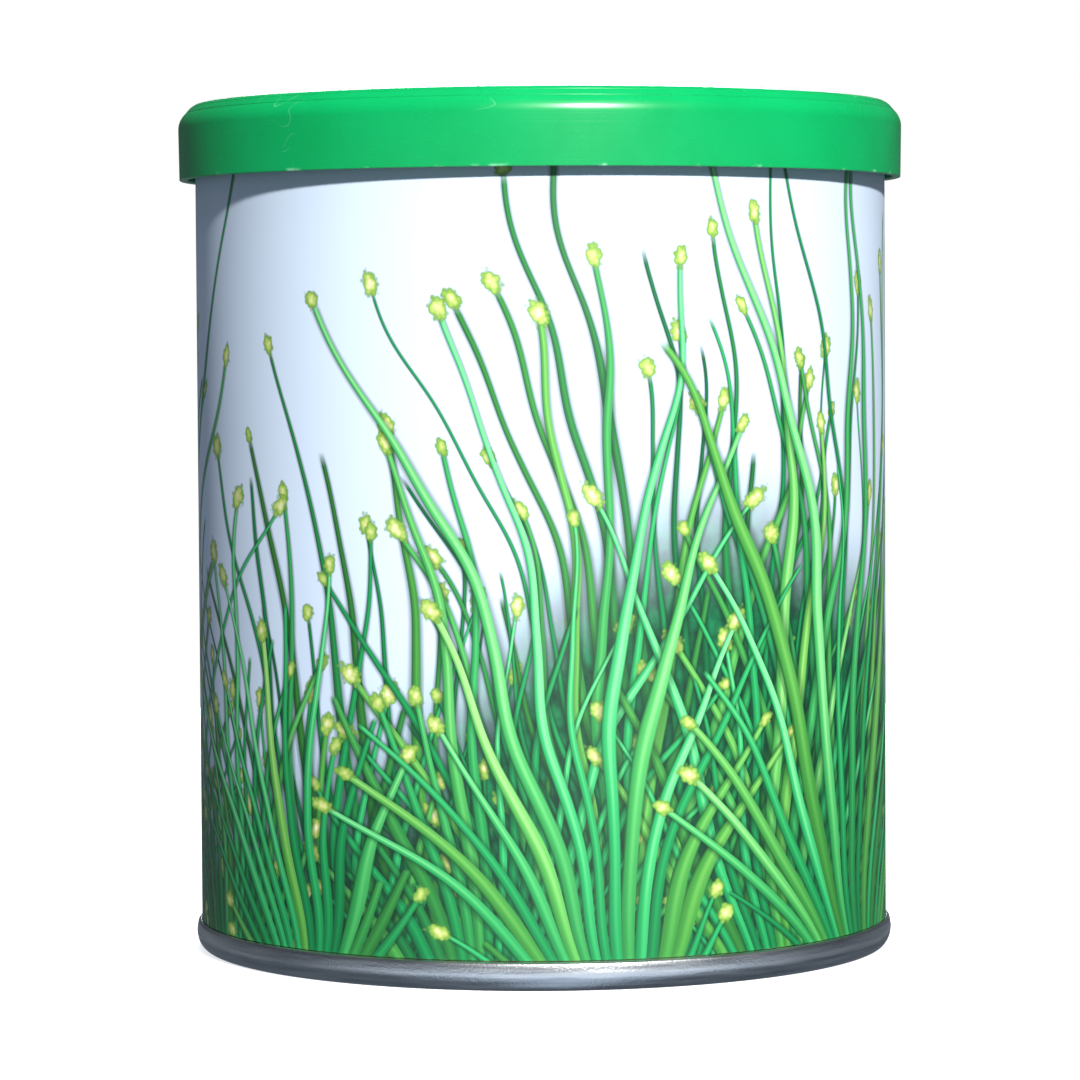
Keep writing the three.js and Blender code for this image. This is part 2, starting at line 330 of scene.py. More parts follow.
def place_in_fan(tree, given):
    """Distance from the root and angle in slices, plus which side of the can this is."""
    swayed = add(tree, MATH, [given["Along"], given["Sway"]], operation="ADD")
    beside = add(tree, MATH, [swayed, given["Root along"]], operation="SUBTRACT")
    turns = add(tree, MATH, [beside, HALF_WAY_ROUND], operation="DIVIDE")
    whole = add(tree, MATH, [turns], operation="ROUND")
    side = add(tree, MATH, [whole], operation="ABSOLUTE")
    x = add(tree, MATH, [whole, -HALF_WAY_ROUND, beside], operation="MULTIPLY_ADD")
    y = add(tree, MATH, [given["Up"], given["Root up"]], operation="SUBTRACT")
    flat = add(tree, "ShaderNodeCombineXYZ", [x, y])
    reach = add(tree, "ShaderNodeVectorMath", [flat], operation="LENGTH").outputs["Value"]
    from_upright = add(tree, MATH, [x, y], operation="ARCTAN2")
    angle = add(tree, MATH, [from_upright, given["Lean"]], operation="SUBTRACT")
    opening = add(tree, MATH, [reach, given["Arch"], 1.0], operation="MULTIPLY_ADD")
    wide_slice = add(tree, MATH, [given["Slice"], opening], operation="MULTIPLY")
    slices = add(tree, MATH, [angle, wide_slice], operation="DIVIDE")
    slice_width = add(tree, MATH, [wide_slice, reach], operation="MULTIPLY")
    return side, reach, slices, slice_width


# %% [markdown]
# A blade is drawn as a round stalk lit from the right: brightest right of its middle, dark at both
# edges, with fine ribs along it. It tapers to a third of its width. It also throws a soft shadow on
# what lies behind it, which is what makes flat layers look deep.

# %% Blades

COOL_GREENS = ((0.0, "#06301D"), (0.25, "#0B5A33"), (0.5, "#189350"), (0.75, "#3BBB70"), (1.0, "#7FE39A"))
WARM_GREENS = ((0.0, "#10300F"), (0.25, "#27601F"), (0.5, "#4A9538"), (0.75, "#7CC050"), (1.0, "#B4E37E"))
HEAD_COLOURS = ((0.0, "#3F7A36"), (0.3, "#8DB84E"), (0.65, "#D0DC86"), (1.0, "#EEF0CE"))


def blade_colour(tree, given, across, reach, drawn, own):
    lit = add(tree, MATH, [across, 0.25], operation="SUBTRACT")
    falling = add(tree, MATH, [lit, lit], operation="MULTIPLY")
    rounded_off = add(tree, MATH, [falling, -0.5, 0.98], operation="MULTIPLY_ADD")
    rib_place = add(tree, MATH, [across, 7.5, drawn[0]], operation="MULTIPLY_ADD")
    ribs = add(tree, MATH, [rib_place], operation="SINE")
    ribbed = add(tree, MATH, [ribs, 0.06, rounded_off], operation="MULTIPLY_ADD")
    rising = add(tree, "ShaderNodeMapRange", [reach, 10.0, 44.0, 0.5, 1.0])
    shaded = add(tree, MATH, [ribbed, rising], operation="MULTIPLY")
    brightness = add(tree, MATH, [own, given["Light"]], operation="MULTIPLY")
    strength = add(tree, MATH, [shaded, brightness], operation="MULTIPLY")
    yellowness = add(tree, "ShaderNodeMapRange", [drawn[2], 0.45, 1.0, 0.0, 0.8])
    cool = ramp_colours(add(tree, "ShaderNodeValToRGB", [strength]), COOL_GREENS)
    warm = ramp_colours(add(tree, "ShaderNodeValToRGB", [strength]), WARM_GREENS)
    return add(tree, "ShaderNodeMix", [yellowness, cool, warm], data_type="RGBA")


def seed_head(tree, given, off_centre, past_tip, drawn, own, chance):
    """How much of a seed head is here, and its colour. Some blades have none."""
    half_width = add(tree, MATH, [drawn[0], 0.55, 0.55], operation="MULTIPLY_ADD")
    half_length = add(tree, MATH, [half_width, 1.5], operation="MULTIPLY")
    sideways = add(tree, MATH, [off_centre, half_width], operation="DIVIDE")
    endways = add(tree, MATH, [past_tip, half_length], operation="DIVIDE")
    spot = add(tree, "ShaderNodeCombineXYZ", [sideways, endways])
    from_head = add(tree, "ShaderNodeVectorMath", [spot], operation="LENGTH").outputs["Value"]
    ragged = add(tree, MATH, [given["Grain"], 0.5, from_head], operation="MULTIPLY_ADD")
    amount = add(tree, "ShaderNodeMapRange", [ragged, 1.0, 1.25, 1.0, 0.0])
    exists = add(tree, MATH, [chance, 0.3], operation="GREATER_THAN")
    bulge = add(tree, "ShaderNodeMapRange", [ragged, 0.1, 1.2, 1.05, 0.0])
    tone = add(tree, MATH, [bulge, own], operation="MULTIPLY")
    colour = ramp_colours(add(tree, "ShaderNodeValToRGB", [tone]), HEAD_COLOURS)
    return add(tree, MATH, [amount, exists], operation="MULTIPLY"), colour


# %% One fan


def fan_of_blades():
    tree = bpy.data.node_groups.new("fan_of_blades", "ShaderNodeTree")
    tree.interface.new_socket("Behind", in_out="INPUT", socket_type="NodeSocketColor")
    for name in ("Along", "Up", "Sway", "Grain", *FAN_NUMBERS):
        tree.interface.new_socket(name, in_out="INPUT", socket_type="NodeSocketFloat")
    tree.interface.new_socket("Colour", in_out="OUTPUT", socket_type="NodeSocketColor")
    tree.interface.new_socket("Along", in_out="OUTPUT", socket_type="NodeSocketFloat")
    given = tree.nodes.new("NodeGroupInput").outputs
    side, reach, slices, slice_width = place_in_fan(tree, given)

    # Random values of this blade. Its middle wanders a little within its slice.
    number = add(tree, MATH, [slices], operation="FLOOR")
    on_this_side = add(tree, MATH, [side, 50.0, number], operation="MULTIPLY_ADD")
    key = add(tree, MATH, [on_this_side, given["Draw"]], operation="ADD")
    noise = add(tree, "ShaderNodeTexWhiteNoise", [key], noise_dimensions="1D")
    chance = noise.outputs["Value"]
    drawn = add(tree, "ShaderNodeSeparateColor", [noise.outputs["Color"]]).outputs
    middle = add(tree, MATH, [drawn[0], 0.36, 0.32], operation="MULTIPLY_ADD")
    within = add(tree, MATH, [slices, number], operation="SUBTRACT")
    aside = add(tree, MATH, [within, middle], operation="SUBTRACT")
    off_centre = add(tree, MATH, [aside, slice_width], operation="MULTIPLY")
    slice_middle = add(tree, MATH, [number, 0.5], operation="ADD")
    blade_angle = add(tree, MATH, [slice_middle, given["Slice"]], operation="MULTIPLY")
    size_of_angle = add(tree, MATH, [blade_angle], operation="ABSOLUTE")
    shortened = add(tree, "ShaderNodeMapRange", [size_of_angle, 0.1, 0.5, 1.0, 0.36])
    share_of_reach = add(tree, MATH, [drawn[1], 0.42, 0.58], operation="MULTIPLY_ADD")
    full_length = add(tree, MATH, [share_of_reach, given["Reach"]], operation="MULTIPLY")
    length = add(tree, MATH, [full_length, shortened], operation="MULTIPLY")
    share = add(tree, MATH, [reach, length], operation="DIVIDE")
    past_tip = add(tree, MATH, [reach, length], operation="SUBTRACT")
    own = add(tree, MATH, [chance, 0.5, 0.6], operation="MULTIPLY_ADD")

    # A blade tapers towards its tip, and outside the fan's spread there is none.
    taper = add(
        tree, "ShaderNodeMapRange", [share, 0.35, 1.0, 1.0, 0.34], interpolation_type="SMOOTHSTEP"
    )
    share_of_width = add(tree, MATH, [drawn[2], 0.35, 0.32], operation="MULTIPLY_ADD")
    half_width = add(tree, MATH, [share_of_width, given["Width"]], operation="MULTIPLY")
    tapered = add(tree, MATH, [half_width, taper], operation="MULTIPLY")
    across = add(tree, MATH, [off_centre, tapered], operation="DIVIDE")
    from_middle = add(tree, MATH, [across], operation="ABSOLUTE")
    before_tip = add(tree, "ShaderNodeMapRange", [share, 0.985, 1.0, 1.0, 0.0])
    in_spread = add(tree, MATH, [size_of_angle, given["Half spread"]], operation="LESS_THAN")
    there = add(tree, MATH, [before_tip, in_spread], operation="MULTIPLY")
    edge = add(tree, "ShaderNodeMapRange", [from_middle, 0.86, 1.1, 1.0, 0.0])
    blade = add(tree, MATH, [edge, there], operation="MULTIPLY")

    shadow = add(
        tree, "ShaderNodeMapRange", [from_middle, 0.9, 2.3, 0.6, 0.0], interpolation_type="SMOOTHSTEP"
    )
    darkening = add(tree, MATH, [shadow, there], operation="MULTIPLY")
    shaded = add(tree, "ShaderNodeMix", [darkening, given["Behind"], linear("#0A3222")], data_type="RGBA")
    stalk = blade_colour(tree, given, across, reach, drawn, own)
    with_blade = add(tree, "ShaderNodeMix", [blade, shaded, stalk], data_type="RGBA")
    amount, colour = seed_head(tree, given, off_centre, past_tip, drawn, own, chance)
    head = add(tree, MATH, [amount, in_spread], operation="MULTIPLY")
    finished = add(tree, "ShaderNodeMix", [head, with_blade, colour], data_type="RGBA")

    # Cycles would keep values of all fans in memory at once, and there is little room for them. With a
    # millionth of this fan's red in it, the next fan's Along can only be worked out after this fan.
    red = add(tree, "ShaderNodeSeparateColor", [finished]).outputs[0]
    passed_on = add(tree, MATH, [red, 0.000001, given["Along"]], operation="MULTIPLY_ADD")
    add(tree, "NodeGroupOutput", [finished, passed_on])
    return tree


blades = fan_of_blades()
print("nodes in one fan:", len(blades.nodes))

# %% [markdown]
# The printed label, part two: a meadow of fans
#
# Fans are laid over each other from the back to the front, as a painter works. The back rows have
# their roots far below the label, which makes their blades tall and nearly parallel, and they are
# dark. The front rows are rooted close to the lower edge and are bright. Fans further right reach
# higher, so that the meadow climbs to the right and leaves white paper at the upper left. Deep green
# fills the gaps low down, and a little higher on the right. Each fan is the same group with other
# numbers.

# %% Coated label paper with its print

FAN_ROWS = 4
FANS_IN_A_ROW = 3


def fan_numbers(row, place):
    """What the fan at this place of this row is given. Row 0 is at the back, place 0 on the left."""
    nearness = row / (FAN_ROWS - 1)
    across = (place + 0.5 * (row % 2)) / (FANS_IN_A_ROW - 0.5)
    depth = 14 + 34 * (1 - nearness) ** 2
    return {
        "Root along": -40 + 82 * across,
        "Root up": -depth,
        "Lean": math.radians(-10 + 16 * across + 9 * (row % 3 - 1)),
        "Arch": 0.012 * (1 - 0.6 * (1 - nearness)) + 0.003 * (place % 2),
        "Slice": math.radians(1.15 + 2.5 * nearness),
        "Half spread": math.radians(22 + 12 * nearness),
        "Reach": depth + 50 + 50 * across - 4 * nearness,
        "Width": 1.25 + 0.45 * nearness,
        "Light": 0.5 + 0.6 * nearness,
        "Draw": 200.0 * (row * FANS_IN_A_ROW + place),
    }


def bare_print(tree, place, along, up, sway):
    """What lies behind all fans: white paper above, deep green with a ragged edge below."""
    cloud = add(tree, "ShaderNodeTexNoise", {"Vector": place, "Scale": 22.0, "Detail": 2.0})
    low = add(tree, "ShaderNodeMapRange", [up, 8.0, 48.0, 0.5, 0.0], interpolation_type="SMOOTHSTEP")
    tint = add(tree, MATH, [cloud, low], operation="MULTIPLY")
    paper = add(tree, "ShaderNodeMix", [tint, linear("#D6E8FD"), linear("#8FB4DC")], data_type="RGBA")
    turns = add(tree, MATH, [along, 1 / HALF_WAY_ROUND], operation="MULTIPLY")
    wave_place = add(tree, MATH, [turns, 2 * math.pi, 0.4], operation="MULTIPLY_ADD")
    wave = add(tree, MATH, [wave_place], operation="SINE")
    brink = add(tree, MATH, [wave, 17.0, 33.0], operation="MULTIPLY_ADD")
    uneven = add(tree, MATH, [sway, 1.3, brink], operation="MULTIPLY_ADD")
    below = add(tree, MATH, [uneven, up], operation="SUBTRACT")
    depth = add(tree, "ShaderNodeMapRange", [below, -6.0, 16.0, 0.0, 1.0], interpolation_type="SMOOTHSTEP")
    tufts = add(tree, "ShaderNodeTexNoise", {"Vector": place, "Scale": 400.0, "Detail": 3.0})
    undergrowth = ramp_colours(
        add(tree, "ShaderNodeValToRGB", [tufts]), [(0.35, "#0A3A26"), (0.65, "#187A4B")]
    )
    return add(tree, "ShaderNodeMix", [depth, paper, undergrowth], data_type="RGBA")


def printed_paper():
    made, tree = new_material("coated_label_paper")
    place = add(tree, "ShaderNodeTexCoord").outputs["Object"]
    parts = add(tree, "ShaderNodeSeparateXYZ", [place]).outputs
    backwards = add(tree, MATH, [parts["Y"], -1.0], operation="MULTIPLY")
    turn = add(tree, MATH, [parts["X"], backwards], operation="ARCTAN2")
    along = add(tree, MATH, [turn, LABEL_RADIUS], operation="MULTIPLY")
    up = add(tree, MATH, [parts["Z"], 1 / MM, -label_low.z], operation="MULTIPLY_ADD")
    wind = add(tree, "ShaderNodeTexNoise", {"Vector": place, "Scale": 28.0, "Detail": 1.0})
    sway = add(tree, "ShaderNodeMapRange", [wind, 0.2, 0.8, -4.5, 4.5])
    florets = add(tree, "ShaderNodeTexVoronoi", {"Vector": place, "Scale": 1800.0})
    picture = bare_print(tree, place, along, up, sway)
    shared = {"Up": up, "Sway": sway, "Grain": florets}
    for row in range(FAN_ROWS):
        for i in range(FANS_IN_A_ROW):
            inputs = {"Behind": picture, "Along": along, **shared, **fan_numbers(row, i)}
            picture, along = add(tree, "ShaderNodeGroup", inputs, node_tree=blades).outputs

    # Varnish over the print is satin. The paper under it is not quite even.
    pulp = add(tree, "ShaderNodeTexNoise", {"Vector": place, "Scale": 1500.0, "Detail": 2.0})
    swell = add(tree, "ShaderNodeTexNoise", {"Vector": place, "Scale": 45.0, "Detail": 1.0})
    fine = add(tree, "ShaderNodeBump", {"Height": pulp, "Strength": 0.15, "Distance": 0.00002})
    bump = add(
        tree, "ShaderNodeBump", {"Height": swell, "Strength": 0.25, "Distance": 0.0004, "Normal": fine}
    )
    roughness = add(tree, "ShaderNodeMapRange", [swell, 0.3, 0.7, 0.36, 0.42])
    shader = add(
        tree,
        "ShaderNodeBsdfPrincipled",
        {"Base Color": picture, "Roughness": roughness, "Normal": bump, "IOR": 1.48},
    )
    add(tree, "ShaderNodeOutputMaterial", [shader])
    return made


label_print = printed_paper()

# %% [markdown]
# Sections
#
# Every round piece is drawn as half of its section: points in radius and height. Real edges are never
# sharp, so one function takes a list of corners, each with its own radius, and rounds them. It also
# adds a short straight on both sides of a bend. Smooth shading then turns within the bend and leaves
# the flats flat. Sheet metal is drawn as the line along its middle and given its thickness last.

# %% Rounded sections

BEND_STEPS = 6
STRAIGHT = 0.06


def bend(before, here, after, radius):
    """The points that replace one corner of a section."""
    back, ahead = Vector(before) - Vector(here), Vector(after) - Vector(here)
    half = back.angle(ahead) / 2
    if radius == 0 or half > math.radians(89):
        return [tuple(here)]
    room = 0.48 * min(back.length, ahead.length)
    run = min(radius / math.tan(half), room)
    centre = Vector(here) + (back.normalized() + ahead.normalized()).normalized() * run / math.cos(half)
    start = Vector(here) + back.normalized() * run
    spoke = start - centre
    sweep = math.pi - 2 * half
    if back.x * ahead.y - back.y * ahead.x > 0:
        sweep = -sweep
    points = [centre + Matrix.Rotation(sweep * i / BEND_STEPS, 2) @ spoke for i in range(BEND_STEPS + 1)]
    if run + STRAIGHT < room:
        points.insert(0, start + back.normalized() * STRAIGHT)
        points.append(Vector(here) + ahead.normalized() * (run + STRAIGHT))
    return [tuple(p) for p in points]


def rounded(corners, closed):
    """A section from corners of (radius, height, radius of the bend), in millimetres."""
    points = []
    for i, (r, z, bend_radius) in enumerate(corners):
        if not closed and i in (0, len(corners) - 1):
            points.append((r, z))
            continue
        before, after = corners[i - 1], corners[(i + 1) % len(corners)]
        points += bend(before[:2], (r, z), after[:2], bend_radius)
    return points


def oval_arc(r, z, half_width, half_height, start, end, steps=9):
    """Corners along an arc of an ellipse, angles in degrees from the outward radius."""
    turns = [math.radians(start + (end - start) * i / steps) for i in range(steps + 1)]
    return [(r + half_width * math.cos(a), z + half_height * math.sin(a), 0.0) for a in turns]


def sheet_section(middle, thickness):
    """The outline of a bent sheet from the points along its middle."""
    sides = ([], [])
    for i, here in enumerate(middle):
        before, after = Vector(middle[max(i - 1, 0)]), Vector(middle[min(i + 1, len(middle) - 1)])
        along = (after - before).normalized()
        away = Vector((-along.y, along.x)) * thickness / 2
        if here[0] == 0:
            away = Vector((0, thickness / 2))
        for side, sign in zip(sides, (1, -1)):
            side.append(tuple(Vector(here) + sign * away))
    return sides[0][::-1] + sides[1]


# %% [markdown]
# A lathe made of nodes
#
# Curve to Mesh sweeps one curve along another. With the section as the profile and a circle as the
# path it works as a lathe. The section is drawn in the profile's own plane, where X is the distance
# outwards from the circle and Y points down. Merge by Distance closes the middle of a section that
# reaches the axis. The result is turned into a plain mesh, its normals are recalculated and its sharp
# edges are marked.

# %% The lathe

PATH_RADIUS = 10.0
SIDES = 192
SHARP = math.radians(38)


def lathe_tree():
    tree = bpy.data.node_groups.new("Lathe", "GeometryNodeTree")
    tree.interface.new_socket("Section", in_out="INPUT", socket_type="NodeSocketGeometry")
    tree.interface.new_socket("Sides", in_out="INPUT", socket_type="NodeSocketInt")
    tree.interface.new_socket("Path radius", in_out="INPUT", socket_type="NodeSocketFloat")
    tree.interface.new_socket("Finish", in_out="INPUT", socket_type="NodeSocketMaterial")
    tree.interface.new_socket("Turned", in_out="OUTPUT", socket_type="NodeSocketGeometry")
    given = tree.nodes.new("NodeGroupInput").outputs
    profile = add(tree, "GeometryNodeMeshToCurve", {"Mesh": given["Section"]})
    size = {"Resolution": given["Sides"], "Radius": given["Path radius"]}
    circle = add(tree, "GeometryNodeCurvePrimitiveCircle", size)
    swept = add(tree, "GeometryNodeCurveToMesh", {"Curve": circle, "Profile Curve": profile})
    closed = add(tree, "GeometryNodeMergeByDistance", {"Geometry": swept, "Distance": 0.002 * MM})
    smooth = add(tree, "GeometryNodeSetShadeSmooth", {"Geometry": closed, "Shade Smooth": True})
    single = add(tree, "GeometryNodeRealizeInstances", {"Geometry": smooth})
    finished = add(tree, "GeometryNodeSetMaterial", {"Geometry": single, "Material": given["Finish"]})
    add(tree, "NodeGroupOutput", [finished])
    return tree


lathe = lathe_tree()
LATHE_INPUTS = {item.name: item.identifier for item in lathe.interface.items_tree if item.in_out == "INPUT"}


def in_scene(name, data):
    """A new object in the scene, from its mesh, light or camera."""
    made = bpy.data.objects.new(name, data)
    bpy.context.scene.collection.objects.link(made)
    return made


def plain_piece(name, source):
    """The evaluated shape of an object as a new object with a plain mesh."""
    evaluated = source.evaluated_get(bpy.context.evaluated_depsgraph_get())
    mesh = bpy.data.meshes.new_from_object(evaluated)
    bpy.data.objects.remove(source)
    mesh.name = name
    return in_scene(name, mesh)


def face_outwards(mesh):
    shape = bmesh.new()
    shape.from_mesh(mesh)
    bmesh.ops.recalc_face_normals(shape, faces=shape.faces)
    print(mesh.name, "faces:", len(shape.faces), "open edges:", sum(not e.is_manifold for e in shape.edges))
    shape.to_mesh(mesh)
    shape.free()
    mesh.set_sharp_from_angle(angle=SHARP)


def turn_on_lathe(name, section, closed, finish):
    """A round piece from its section, in millimetres of radius and height."""
    vertices = [((r - PATH_RADIUS) * MM, -z * MM, 0.0) for r, z in section]
    edges = [(i, i + 1) for i in range(len(vertices) - 1)]
    if closed:
        edges.append((len(vertices) - 1, 0))
    drawing = bpy.data.meshes.new(name + "_section")
    drawing.from_pydata(vertices, edges, [])
    blank = in_scene(name + "_blank", drawing)
    turning = blank.modifiers.new("Lathe", "NODES")
    turning.node_group = lathe
    turning[LATHE_INPUTS["Sides"]] = SIDES
    turning[LATHE_INPUTS["Path radius"]] = PATH_RADIUS * MM
    turning[LATHE_INPUTS["Finish"]] = finish
    piece = plain_piece(name, blank)
    face_outwards(piece.data)
    return piece


# %% [markdown]
# The lid
#
# A snap-on lid is one moulding. From the middle outwards it has a sunken panel, a plug wall that
# centres it in the ring, a raised rim that lets cans stack, and a skirt with a low bead inside that
# snaps under the seam. The rim slopes down to the skirt's large round corner. Two shallow grooves, one
# above and one below that slope, are the two fine lines that show round the top of the lid.

# %% Lid

CHUCK_LINE = BORE_RADIUS - SEAM_AIR - TIN / 2  # middle of the tinplate where it lines the bore
CORNER_RADIUS = 2.3
CORNER_TURN = 45  # degrees of arc from the rim's slope to the upright skirt


def lid_section():
    top = LID_TOP
    step = CAN_TOP + AIR  # rests on the seam
    shoulder = step + LID_WALL
    panel = top - 1.9
    under = panel - LID_WALL
    gate_radius = 4.8  # of the shallow dimple where the plastic entered the mould
    gate_depth = 0.25
    plug = CHUCK_LINE - TIN / 2 - 0.2
    rim_inner = plug - LID_WALL
    rim_top = 37.4
    rim_slope = 37.95
    groove_outer = 36.85
    corner_height = shoulder - CORNER_RADIUS * math.sin(math.radians(CORNER_TURN))
    skirt = LID_RADIUS
    skirt_inner = skirt - LID_WALL
    bead = CAN_TOP - SEAM_HEIGHT - 0.65
    return rounded(
        [
            (0.0, panel - gate_depth, 0.0),
            (gate_radius - 0.4, panel - gate_depth, 1.5),
            (gate_radius + 0.4, panel, 1.5),
            (rim_inner, panel, 0.5),
            (rim_inner, top, 0.35),
            (rim_top, top, 0.5),
            (rim_slope - 0.08, top - 0.3, 0.05),
            (rim_slope - 0.1, top - 0.37, 0.02),
            (rim_slope + 0.03, top - 0.39, 0.04),
            (rim_slope + 0.48, shoulder + 0.1, 0.04),
            (rim_slope + 0.45, shoulder + 0.02, 0.02),
            *oval_arc(skirt - CORNER_RADIUS, corner_height, CORNER_RADIUS, CORNER_RADIUS, CORNER_TURN, 0),
            (skirt - 0.08, LID_FOOT, 0.1),
            (skirt_inner, LID_FOOT, 0.15),
            (skirt_inner, bead - 0.8, 0.6),
            (SEAM_RADIUS - 0.12, bead, 0.3),
            (skirt_inner, bead + 0.7, 0.4),
            (skirt_inner, step, 0.7),
            (groove_outer, step, 0.1),
            (groove_outer, top - LID_WALL, 0.3),
            (plug, top - LID_WALL, 0.3),
            (plug, under, 0.4),
            (0.0, under, 0.0),
        ],
        closed=False,
    )


lid = turn_on_lathe("green_lid", lid_section(), False, green_plastic)

# %% [markdown]
# The double seams
#
# A double seam hooks the edge of the end over the edge of the body and rolls both flat, in five
# layers. From outside only its outer wall shows. Its upper half leans back a little and catches the
# light. Its lower half curves under to the narrow ring that the can stands on, and is darker, partly
# from painted shade in the tinplate's colour. The same line serves both ends of the can, upside down
# at the top.

# %% Bottom end and top ring

PRESSED_BOARD = 0.42
COVER_HOOK_LINE = BORE_RADIUS + PRESSED_BOARD + SEAM_AIR + TIN / 2
OUTER_LINE = SEAM_RADIUS - TIN / 2
CHUCK_WALL = CHUCK_LINE - 0.3
COVER_HOOK_TIP = 1.3
FOOT_EDGE = 36.75  # outer edge of the ring that the seam stands on
FOOT_RISE = 1.9  # height at which the outer wall starts to curve under
WALL_LEAN = 0.14
COUNTERSINK = 4.0


def seam_corners():
    """Corners along the middle of the sheet, from the cover hook round to the foot of the chuck wall."""
    fold_top = SEAM_HEIGHT - TIN / 2
    fold_middle = (OUTER_LINE + COVER_HOOK_LINE) / 2
    return [
        (COVER_HOOK_LINE, COVER_HOOK_TIP, 0.0),
        (COVER_HOOK_LINE, fold_top - 0.12, 0.3),
        (fold_middle, fold_top, 0.35),
        (OUTER_LINE - WALL_LEAN, fold_top - 0.2, 0.3),
        *oval_arc(FOOT_EDGE, FOOT_RISE, OUTER_LINE - FOOT_EDGE, FOOT_RISE - TIN / 2, 0, -90, 14),
        (CHUCK_LINE, TIN / 2, 0.25),
    ]


def bottom_end_section():
    panel = 2.9
    stiffener = 25.7  # radius of the ring pressed into the panel
    stiffener_rise = 0.6
    middle = rounded(
        [
            *seam_corners(),
            (CHUCK_WALL, COUNTERSINK - TIN / 2, 0.5),
            (CHUCK_WALL - 1.0, COUNTERSINK - TIN / 2, 0.45),
            (CHUCK_WALL - 1.3, panel, 0.5),
            (stiffener + 1.5, panel, 0.8),
            (stiffener + 0.5, panel + stiffener_rise, 0.8),
            (stiffener - 0.5, panel + stiffener_rise, 0.8),
            (stiffener - 1.5, panel, 0.8),
            (0.0, panel, 0.0),
        ],
        closed=False,
    )
    return sheet_section(middle, TIN)


def top_ring_section():
    ledge = COUNTERSINK + TIN / 2
    opening = 33.2
    hem_height = 0.5
    hem_width = 1.0
    middle = rounded(
        [
            *seam_corners(),
            (CHUCK_WALL, ledge, 0.5),
            (opening, ledge, 0.24),
            (opening, ledge + hem_height, 0.24),
            (opening + hem_width, ledge + hem_height, 0.0),
        ],
        closed=False,
    )
    return [(r, CAN_TOP - z) for r, z in sheet_section(middle, TIN)]


tin_end = turn_on_lathe("tin_end", bottom_end_section(), False, tinplate)
tin_ring = turn_on_lathe("tin_ring", top_ring_section(), True, tinplate)

# %% [markdown]
# Tube, liner and seal
#
# The tube is board of 0.62 mm, pressed thinner inside each seam and hooked outwards there. Its outer
# ply is bleached white. The foil liner covers the inside. Under the lid, a foil disc is sealed to the
# ring's ledge, with a tab folded back over it to pull it off by. None of this shows on a closed can,
# but it is what a cut through the can would show.

# %% Tube, liner and seal

BOARD_OUTER = LABEL_RADIUS - LABEL_PAPER - AIR
BOARD_INNER = BORE_RADIUS + LINER_FOIL + AIR


def tube_end_corners():
    """Corners of one end of the tube above the seam's foot, from the bore to the outside."""
    inset = TIN / 2 + SEAM_AIR
    hook_inner = COVER_HOOK_LINE + inset
    hook_outer = OUTER_LINE - inset - WALL_LEAN / 2
    pressed = BORE_RADIUS + PRESSED_BOARD
    foot = TIN + SEAM_AIR
    hook_bend = COVER_HOOK_TIP - 0.2
    return [
        (BOARD_INNER, 3.5, 0.3),
        (BORE_RADIUS, 2.9, 0.3),
        (BORE_RADIUS, foot, 0.12),
        *oval_arc(FOOT_EDGE, FOOT_RISE, hook_outer - FOOT_EDGE, FOOT_RISE - foot, -90, 0, 14),
        (hook_outer, 2.4, 0.05),
        (hook_inner, 2.4, 0.05),
        (hook_inner, hook_bend, 0.12),
        (pressed, hook_bend, 0.12),
        (pressed, 2.75, 0.2),
        (BOARD_OUTER, 3.3, 0.2),
    ]


def tube_section():
    low = tube_end_corners()
    high = [(r, CAN_TOP - z, bend_radius) for r, z, bend_radius in reversed(low)]
    return rounded(low + high, closed=True)


def box_section(inner, outer, low, high):
    """A plain ring with slightly rounded edges."""
    edge = 0.3 * min(outer - inner, high - low)
    corners = [(inner, low, edge), (outer, low, edge), (outer, high, edge), (inner, high, edge)]
    return rounded(corners, closed=True)


tube = turn_on_lathe("board_tube", tube_section(), True, grey_board)
tube.data.materials.append(white_ply)
for face in tube.data.polygons:
    if Vector(face.center[:2]).length > (BOARD_OUTER - 0.05) * MM:
        face.material_index = 1

liner = turn_on_lathe(
    "foil_lining", box_section(BORE_RADIUS, liner_high.x, liner_low.z, liner_high.z), True, foil
)

# %% Foil disc with its folded tab

SEAL_RADIUS = seal_high.x
TAB_HALF_WIDTH = 8.0
TAB_REACH = 19.0
TAB_FOLD_RADIUS = 0.135
TAB_LIFT = 0.25  # of the tab's free end
TAB_COLUMNS = 10
FOLD_STEPS = 8
STRAIGHT_STEPS = 8
TIP_STEPS = 11
TIP_TURN = 7.8  # degrees of the round tip in each step


def seal_disc():
    low, high = seal_low.z, seal_low.z + SEAL_FOIL
    corners = [(0.0, high, 0.0), (SEAL_RADIUS, high, 0.04), (SEAL_RADIUS, low, 0.04), (0.0, low, 0.0)]
    return turn_on_lathe("peel_seal", rounded(corners, closed=False), False, foil)


def tab_rows():
    """Rows across the tab from the disc to the free end: place, height and half width."""
    start = seal_low.y + 0.8
    low = seal_low.z + SEAL_FOIL / 2
    straight = TAB_REACH - TAB_HALF_WIDTH
    rows = []
    for i in range(FOLD_STEPS + 1):
        turn = math.radians(-90 - 180 * i / FOLD_STEPS)
        up = TAB_FOLD_RADIUS * (1 + math.sin(turn))
        rows.append((start + TAB_FOLD_RADIUS * math.cos(turn), low + up, TAB_HALF_WIDTH))
    steps = range(1, STRAIGHT_STEPS + 1)
    reaches = [(straight * i / STRAIGHT_STEPS, TAB_HALF_WIDTH) for i in steps]
    for i in range(1, TIP_STEPS + 1):
        turn = math.radians(TIP_TURN * i)
        reaches.append((straight + TAB_HALF_WIDTH * math.sin(turn), TAB_HALF_WIDTH * math.cos(turn)))
    for reach, half_width in reaches:
        lift = TAB_LIFT * (reach / TAB_REACH) ** 2
        rows.append((start + reach, low + 2 * TAB_FOLD_RADIUS + lift, half_width))
    return rows


